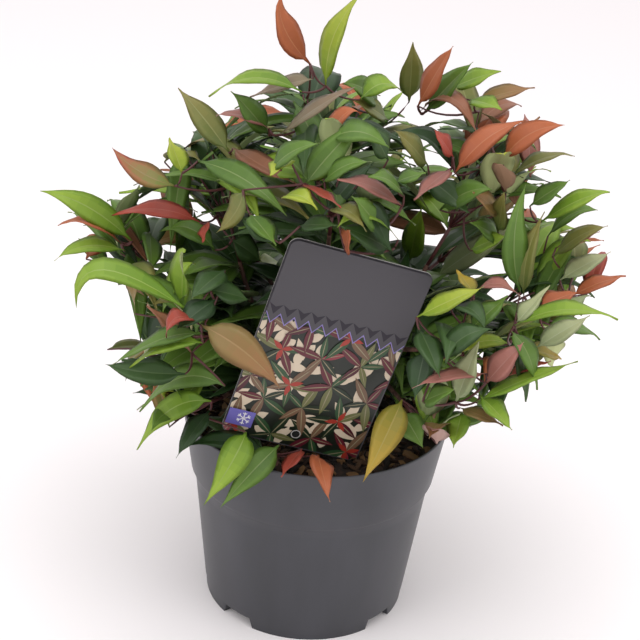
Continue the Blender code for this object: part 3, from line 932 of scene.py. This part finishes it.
# Leaves placed one by one: tint, width in pixels, base pixel, tip pixel, the middle pixel
# where it bends sideways, and the depths of its base and tip where it hangs in front
PLACED = (
    ("orange", 24, (310, 64), (281, -6), (284, 28)), ("lime", 22, (326, 86), (363, -8), (334, 36)),
    ("fresh", 15, (302, 92), (209, 97), (252, 78)), ("grey", 15, (313, 79), (250, 97)),
    ("olive", 27, (229, 152), (178, 88)), ("green", 24, (269, 135), (231, 91)),
    ("mauve", 11, (269, 129), (216, 116), (240, 115)), ("grey", 14, (281, 134), (355, 87), (320, 106)),
    ("green", 30, (306, 184), (369, 114), (332, 152)), ("flame", 24, (175, 186), (112, 148), (140, 172)),
    ("lime", 20, (182, 173), (169, 138)), ("green", 26, (198, 161), (287, 216), (245, 180)),
    ("brown", 20, (233, 148), (296, 184), (262, 166)), ("red", 18, (200, 222), (112, 216), (155, 209)),
    ("red", 10, (208, 222), (203, 243)), ("olive", 22, (243, 190), (216, 233), (236, 212)),
    ("lime", 18, (282, 198), (317, 210), (300, 196)), ("red", 9, (302, 184), (341, 208)),
    ("mauve", 16, (402, 206), (337, 180), (370, 186)), ("orange", 14, (345, 250), (350, 230)),
    ("fresh", 27, (132, 241), (40, 191), (86, 206)), ("orange", 12, (121, 244), (58, 226), (88, 222)),
    ("fresh", 17, (125, 251), (54, 261), (86, 246)), ("fresh", 24, (193, 314), (76, 308), (104, 270)),
    ("red", 17, (198, 323), (166, 338), (176, 318)), ("bronze", 37, (201, 325), (280, 388), (245, 352)),
    ("green", 17, (201, 334), (113, 365), (160, 340)), ("fresh", 18, (203, 343), (130, 368), (165, 345)),
    ("dark", 28, (185, 374), (105, 364), (142, 372)), ("green", 24, (225, 386), (140, 412), (180, 378)),
    ("fresh", 26, (211, 401), (137, 450), (170, 410), (-0.060, -0.068)),
    ("deep", 20, (210, 410), (176, 458), None, (-0.055, -0.072)),
    ("fresh", 32, (246, 432), (204, 505), (232, 462), (-0.066, -0.090)),
    ("green", 28, (279, 445), (220, 508), (252, 472), (-0.064, -0.088)),
    ("red", 14, (302, 449), (281, 477), None, (-0.060, -0.079)),
    ("orange", 22, (318, 455), (330, 502), (322, 472), (-0.062, -0.084)),
    ("gold", 32, (402, 400), (363, 482), (386, 436), (-0.056, -0.084)),
    ("green", 28, (402, 412), (423, 448), None, (-0.054, -0.066)),
    ("fresh", 24, (462, 412), (453, 448), None, (-0.060, -0.076)), ("olive", 24, (409, 102), (413, 42)),
    ("orange", 20, (418, 106), (453, 46)), ("green", 22, (425, 112), (473, 62)),
    ("fresh", 18, (452, 88), (501, 71)), ("bronze", 16, (475, 102), (535, 88)),
    ("brown", 16, (420, 112), (479, 139), (452, 98)), ("orange", 24, (455, 173), (526, 121), (488, 138)),
    ("orange", 25, (502, 160), (565, 125), (530, 134)), ("bronze", 22, (506, 158), (540, 117)),
    ("red", 15, (453, 157), (434, 130)), ("mauve", 16, (451, 169), (414, 200)),
    ("olive", 12, (512, 176), (575, 156), (545, 158)), ("fresh", 18, (541, 222), (610, 192), (580, 200)),
    ("green", 18, (530, 206), (570, 180)), ("green", 26, (520, 292), (526, 184), (514, 240)),
    ("olive", 22, (524, 296), (545, 212), (528, 254)), ("fresh", 24, (409, 262), (422, 207)),
    ("pale", 25, (435, 278), (523, 224), (478, 248)), ("lime", 20, (417, 317), (484, 287), (452, 300)),
    ("mauve", 13, (476, 290), (521, 298), (500, 284)), ("orange", 20, (540, 307), (577, 292)),
    ("orange", 16, (572, 296), (626, 276), (600, 283)), ("fresh", 17, (514, 326), (618, 320), (565, 310)),
    ("pale", 22, (536, 348), (590, 316)), ("mauve", 26, (486, 383), (524, 342)),
    ("mauve", 14, (486, 374), (412, 388), (450, 376)), ("pale", 25, (456, 402), (479, 341)),
    ("green", 20, (423, 402), (455, 389)), ("red", 10, (508, 376), (551, 361)),
    ("fresh", 15, (476, 402), (578, 362), (530, 378)), ("fresh", 20, (480, 396), (512, 430)),
    ("bronze", 14, (460, 408), (503, 426)), ("olive", 17, (553, 257), (608, 226), (580, 236)),
    ("brown", 14, (556, 248), (600, 232)), ("pale", 20, (560, 280), (611, 252)),
    ("green", 16, (548, 236), (598, 210), (572, 214)), ("green", 24, (330, 140), (392, 150), (360, 132)),
    ("green", 22, (380, 108), (342, 84), (362, 88)), ("olive", 18, (388, 120), (352, 100)),
    ("fresh", 20, (360, 100), (402, 92), (382, 84)), ("green", 24, (440, 210), (492, 190), (468, 192)),
    ("dark", 26, (430, 180), (470, 214)), ("green", 22, (380, 230), (352, 196)),
    ("dark", 26, (390, 250), (340, 226)), ("green", 22, (470, 330), (508, 296)),
    ("dark", 26, (440, 360), (492, 330), (466, 336)), ("deep", 28, (425, 350), (414, 400)),
    ("dark", 26, (232, 240), (262, 262)), ("green", 22, (215, 250), (160, 232), (188, 228)),
    ("dark", 24, (225, 270), (190, 300)), ("dark", 24, (210, 290), (250, 300)),
    ("deep", 26, (215, 300), (176, 330)), ("green", 20, (150, 232), (152, 272)),
    ("lime", 16, (290, 160), (270, 176)), ("lime", 16, (279, 262), (257, 266)),
    ("green", 22, (250, 214), (276, 246)), ("olive", 20, (330, 210), (366, 232), (350, 212)),
    ("dark", 26, (420, 330), (440, 378)), ("fresh", 18, (470, 250), (508, 236)),
    ("bronze", 18, (500, 214), (472, 192)), ("green", 18, (545, 330), (600, 340), (574, 326)),
    ("fresh", 16, (470, 100), (502, 110)), ("green", 19, (270, 172), (320, 143), (292, 152)),
    ("green", 18, (322, 184), (372, 162), (345, 166)), ("dark", 22, (388, 160), (366, 124)),
    ("olive", 20, (428, 166), (394, 130)), ("fresh", 17, (398, 240), (337, 228), (366, 213)),
    ("dark", 24, (279, 243), (240, 218)), ("green", 15, (404, 196), (368, 177), (388, 180)),
    ("green", 15, (396, 182), (426, 173)), ("dark", 18, (300, 226), (338, 226)),
    ("deep", 24, (364, 199), (392, 254)), ("green", 20, (511, 331), (537, 390), (528, 355)),
    ("gold", 14, (530, 350), (562, 359)), ("gold", 14, (474, 294), (456, 270)),
    ("dark", 18, (450, 308), (486, 331), (472, 310)), ("pale", 17, (517, 322), (550, 285), (530, 308)),
    ("dark", 20, (520, 336), (526, 402)), ("green", 20, (500, 240), (470, 222)),
    ("olive", 18, (498, 232), (504, 192)),
)

# The crown's outline in the picture: other leaves stay inside it
OUTLINE = (
    (60, 205), (100, 205), (135, 175), (165, 158), (184, 122), (210, 126), (235, 100), (300, 84), (322, 74),
    (346, 84), (395, 90), (406, 66), (422, 70), (452, 74), (498, 86), (524, 104), (548, 132), (560, 168),
    (586, 204), (604, 238), (606, 276), (592, 312), (562, 350), (538, 372), (506, 420), (466, 434),
    (430, 452), (380, 470), (300, 470), (225, 455), (180, 448), (146, 430), (122, 396), (120, 360),
    (150, 336), (144, 306), (112, 284), (78, 262),
)


def inside(pixel, outline):
    x, y = pixel
    found = False
    for (ax, ay), (bx, by) in zip(outline, outline[1:] + outline[:1]):
        if (ay > y) != (by > y) and x < ax + (bx - ax) * (y - ay) / (by - ay):
            found = not found
    return found


def wander(rng, sway):
    return Vector([rng.gauss(0, sway) for _ in range(3)])


class Crown:
    """Grows leaves on twigs, and joins them by the mass of the frame that they are in."""

    def __init__(self, limbs):
        self.rng = random.Random(SEED)
        self.trees, self.whole = crown_trees()
        self.pieces = {name: Piece("leaves_" + name) for name in self.trees}
        self.twigs = Piece("twigs")
        self.bark = principled("twig_red", srgb("#4d2323"), roughness=0.5)
        self.limbs = limbs
        self.anchors = [path[-1] for path in limbs.values()]
        self.shown = {}
        self.hung = []

    def mass_at(self, place):
        """The piece of the mass whose surface is nearest."""
        best = min(self.trees, key=lambda n: (self.trees[n][1].find_nearest(place)[3], n))
        return self.pieces[best]

    def twig(self, path, thick=TWIG_RADIUS, thin=TWIG_TIP_RADIUS):
        count = len(path)
        radii = [thick + (thin - thick) * i / (count - 1) for i in range(count)]
        tube(self.twigs, path, radii, TWIG_SIDES, self.bark)

    def hides(self, place):
        x, y = to_pixel(place)
        cell = self.shown.get((int(x // SHOWN_CELL), int(y // SHOWN_CELL)))
        return cell is not None and (place - CAMERA_PLACE).length < cell + HIDING_GAP

    def beyond(self, place):
        """How far outside the frame's masses a point is."""
        near, normal, _, distance = self.whole.find_nearest(place)
        return distance if (place - near).dot(normal) > 0 else 0.0

    def clear(self, base, middle, tip, half):
        """Whether a grown leaf would stay in the crown and clear of the rest."""
        if self.beyond(tip) > CROWN_MARGIN:
            return False
        if not (inside(to_pixel(tip), OUTLINE) and inside(to_pixel(middle), OUTLINE)):
            return False
        for place in curve(base, control_of(base, middle, tip), tip, steps=7)[1:]:
            if in_pot(place) or meets_card(place, SEEN_MARGIN + half):
                return False
            if not in_room(place) or self.hides(place):
                return False
        return True

    def leaf(self, base, direction, length, width, tint, droop):
        rng = self.rng
        bulge, sway, lean = 0.55, 0.22, 0.1
        direction = direction.normalized()
        tip = base + direction * length + rise(-droop * length)
        middle = (base + tip) / 2 + rise(bulge * droop * length)
        if not self.clear(base, middle, tip, width / 2):
            return False
        up = Vector((rng.gauss(0, sway), rng.gauss(0, sway), 1)) + direction * lean
        add_leaf(self.mass_at(middle), rng, base, middle, tip, up, width, tint)
        return True

    def surface_point(self, pixel, y):
        """Where the camera's ray meets the crown, or the plane at y where it misses."""
        hit = self.whole.ray_cast(CAMERA_PLACE, ray(pixel))[0]
        return hit if hit is not None else on_plane(pixel, y)

    def placed_ends(self, base_pixel, tip_pixel, depths):
        """Its base and its tip, a little inside the crown where no depths are given."""
        if depths:
            return on_plane(base_pixel, depths[0]), on_plane(tip_pixel, depths[1])
        depth, nearer, farther = 0.012, -0.030, 0.012
        start = on_plane(base_pixel, self.surface_point(base_pixel, 0.0).y + depth)
        end = self.surface_point(tip_pixel, start.y - depth)
        reach = max(nearer, min(farther, end.y - start.y))
        return start, on_plane(tip_pixel, start.y + reach)

    def placed_leaf(self, tint, width, base_pixel, tip_pixel, middle_pixel=None, depths=None):
        """A leaf as the picture shows it, turned edge-on where it looks narrow."""
        longest, forward, arch, narrow = 0.078, 0.004, 0.06, 20
        slim, broad, usual, width_share = 0.0135, 0.0225, 0.015, 0.30
        mass_share, flank = 0.4, 0.35 * width
        start, end = self.placed_ends(base_pixel, tip_pixel, depths)
        length = (end - start).length
        if length > longest:
            end = on_plane(tip_pixel, start.y)
        seen_width = width / (FOCAL_PIXELS / (start - CAMERA_PLACE).length)
        if middle_pixel:
            middle = on_plane(middle_pixel, (start.y + end.y) / 2 - forward)
        else:
            middle = (start + end) / 2 + Vector((0, -0.3, 0.3)).normalized() * arch * length
        likely = max(slim, min(broad, width_share * length)) if width < narrow else usual
        full = max(likely, seen_width)
        along = (end - start).normalized()
        to_eye = (CAMERA_PLACE - start).normalized()
        facing = (to_eye - along * to_eye.dot(along)).normalized()
        edge_on = along.cross(facing)
        if edge_on.z < 0:
            edge_on = -edge_on
        seen = min(1.0, seen_width / full)
        normal = facing * seen + edge_on * sqrt(max(0.0, 1 - seen * seen))
        if not in_room(end):
            low, high = CAD_BOX
            end = Vector(max(low[i] - ROOM, min(high[i] + ROOM, end[i])) for i in range(3))
        piece = self.mass_at(start.lerp(end, mass_share))
        add_leaf(piece, self.rng, start, middle, end, normal, full, tint)
        self.hung.append((start, along))
        for place in curve(start, control_of(start, middle, end), end, steps=12):
            x, y = to_pixel(place)
            for across in (-flank, flank):
                cell = (int((x + across) // SHOWN_CELL), int((y + across) // SHOWN_CELL))
                self.shown[cell] = max(self.shown.get(cell, 0), (place - CAMERA_PLACE).length)

    def hang(self, place, along):
        """A twig to the base of a placed leaf, from the nearest anchor that is further in."""
        sag, swing, slack, least, detour = 0.003, 0.15, 0.015, 0.003, Vector((0, 0.03, 0.012))
        if (CARD_INVERSE @ place).y < 0 and place.z < POT_HEIGHT + FRONT_LEAF_RISE:
            near = self.limbs["stem_front"][-1]
            self.twig(curve(near, (near + place) / 2 - rise(sag), place, TWIG_STEPS))
            return
        depth = (place - CROWN_MIDDLE).length + slack
        inner = [a for a in self.anchors if (a - CROWN_MIDDLE).length < depth and (a - place).length > least]
        near = min(inner or self.anchors, key=lambda a: (a - place).length)
        control = (near + place) / 2 - along * swing * (place - near).length + rise(-sag)
        path = curve(near, control, place, TWIG_STEPS)
        if any(meets_card(p, TWIG_MARGIN) or in_pot(p) for p in path[1:]):
            path = curve(near, (near + place) / 2 + detour, place, TWIG_STEPS)
        if any(meets_card(p, TWIG_MARGIN) for p in path[1:-1]):
            cost = 0.2
            near = min(self.anchors, key=lambda a: (a - place).length + cost * meets_card((a + place) / 2, 0))
            path = [near.lerp(place, i / TWIG_STEPS) for i in range(TWIG_STEPS + 1)]
        self.twig(path)
        self.anchors.append(place)

    def shoot_tint(self, share, accent):
        """The tint of a leaf this far along a shoot, warm at its end if the accent is high. Darker near the
        hub and lighter at the end: partly the leaves' own age, partly painted shade inside the crown and
        painted light at its outside.
        """
        rng = self.rng
        outer_from, middle_from, warm_from, middle_chance = 0.85, 0.45, 0.75, 0.6
        if share > outer_from:
            return rng.choice(OUTER_TINTS if accent < warm_from else WARM_TINTS)
        if share > middle_from:
            return rng.choice(MIDDLE_TINTS if rng.random() < middle_chance else OUTER_TINTS)
        return rng.choice(INNER_TINTS)

    def shoot_leaf(self, place, heading, side, share, tint):
        """A leaf at a turn of a shoot, tried in other directions if there is no room."""
        rng = self.rng
        ahead, sway, shrink, least, swell, latest = 0.75, 0.35, 0.93, 0.84, 0.30, 0.95
        size = rng.uniform(0.050, 0.068) * (least + swell * sin(pi * min(latest, share)))
        for attempt in range(LEAF_TRIES):
            spread = heading * ahead - side * rng.uniform(0.5, 1.1) + rise(rng.uniform(-0.05, 0.35))
            spread += wander(rng, sway * attempt)
            width = size * rng.uniform(0.26, 0.33)
            if self.leaf(place, spread, size, width, tint, droop=rng.uniform(0.10, 0.40)):
                return True
            size *= shrink
        return False

    def shoot(self, start, direction, length):
        """A twig that zigzags out with a leaf at each turn and one at its end."""
        rng = self.rng
        place, heading = start.copy(), direction.normalized()
        path = [place.copy()]
        least_nodes, node_gap, tilt, zigzag, fall, sway = 3, 0.0125, 0.3, 0.16, -0.02, 0.06
        end_rise, end_width = 0.25, 0.26
        nodes = max(least_nodes, round(length / node_gap))
        flat = (square_to(heading, rise(1), ALMOST_UPRIGHT) + rise(rng.gauss(0, tilt))).normalized()
        accent = rng.random()
        last = 0
        for index in range(nodes):
            share = (index + 1) / nodes
            side = flat * (1 if index % 2 else -1)
            heading = (heading + side * zigzag + rise(fall) + wander(rng, sway)).normalized()
            place = place + heading * (length / nodes)
            if in_pot(place) or meets_card(place, SHOOT_MARGIN) or not in_room(place):
                break
            path.append(place.copy())
            if self.shoot_leaf(place, heading, side, share, self.shoot_tint(share, accent)):
                last = len(path)
        tint = rng.choice(OUTER_TINTS)
        size = rng.uniform(0.026, 0.046)
        end_heading = heading + rise(end_rise)
        if not self.leaf(path[-1], end_heading, size, size * end_width, tint, droop=0.1):
            path = path[: max(last, 1)]
        if len(path) > 1:
            self.twig(path)
        self.anchors.extend(path[1:])

    def fill(self, name):
        """The shoots of one mass, from the end of its bough out to its surface."""
        rng = self.rng
        middle, tree = self.trees[name]
        limb = self.limbs.get("bough_" + name) or self.limbs["stem_front"]
        root = limb[-1]
        outward = (middle - CROWN_MIDDLE).normalized()
        side = square_to(outward, rise(1), ALMOST_UPRIGHT)
        over = side.cross(outward)
        hub = root.lerp(middle, 0.5)
        self.twig([root, (root + hub) / 2, hub], thick=0.0011, thin=0.0010)
        reach, inset, shortest = 0.03, 0.020, 0.018
        count = TUFT_SHOOTS if name == "front_tuft" else MASS_SHOOTS
        for index in range(count):
            turn = FULL_TURN * (index + rng.uniform(-0.2, 0.2)) / max(1, count - 1)
            tilt = 0.0 if index == 0 else rng.uniform(0.5, 1.15)
            aim = outward * cos(tilt) + (side * cos(turn) + over * sin(turn)) * sin(tilt)
            far = tree.ray_cast(middle, aim)[0] or middle + aim * reach
            heading = far - aim * inset - hub
            self.shoot(hub, heading, max(shortest, heading.length))

    def clothe(self, name, path):
        """Darker leaves along a stem or a bough: partly the older leaves' own deeper green, partly painted
        shade of the crown's inside.
        """
        rng = self.rng
        every, leaves, ring_turn, leaf_turn, gap = 3, 5, 2.4, 1.3, 0.002
        bare = 8 if name.startswith("stem_") else 2
        for index, place in enumerate(path[bare::every]):
            for turn in range(leaves):
                angle = index * ring_turn + turn * leaf_turn + rng.uniform(-0.4, 0.4)
                aim = around(1, angle, rng.uniform(-0.1, 0.7))
                size = rng.uniform(0.048, 0.068)
                width = size * rng.uniform(0.27, 0.34)
                tint = rng.choice(INNER_TINTS)
                self.leaf(place + aim * gap, aim, size, width, tint, droop=rng.uniform(0.05, 0.3))

    def grow(self):
        for row in PLACED:
            self.placed_leaf(*row)
        for name in sorted(self.trees):
            self.fill(name)
        for name, path in sorted(self.limbs.items()):
            self.clothe(name, path)
        for place, along in self.hung:
            self.hang(place, along)
        for name, piece in self.pieces.items():
            piece.build("foliage", ["foliage_" + name])
        self.twigs.build("bark", [])


make_camera()
make_studio()
make_pot()
make_soil()
make_label()
Crown(make_bark()).grow()
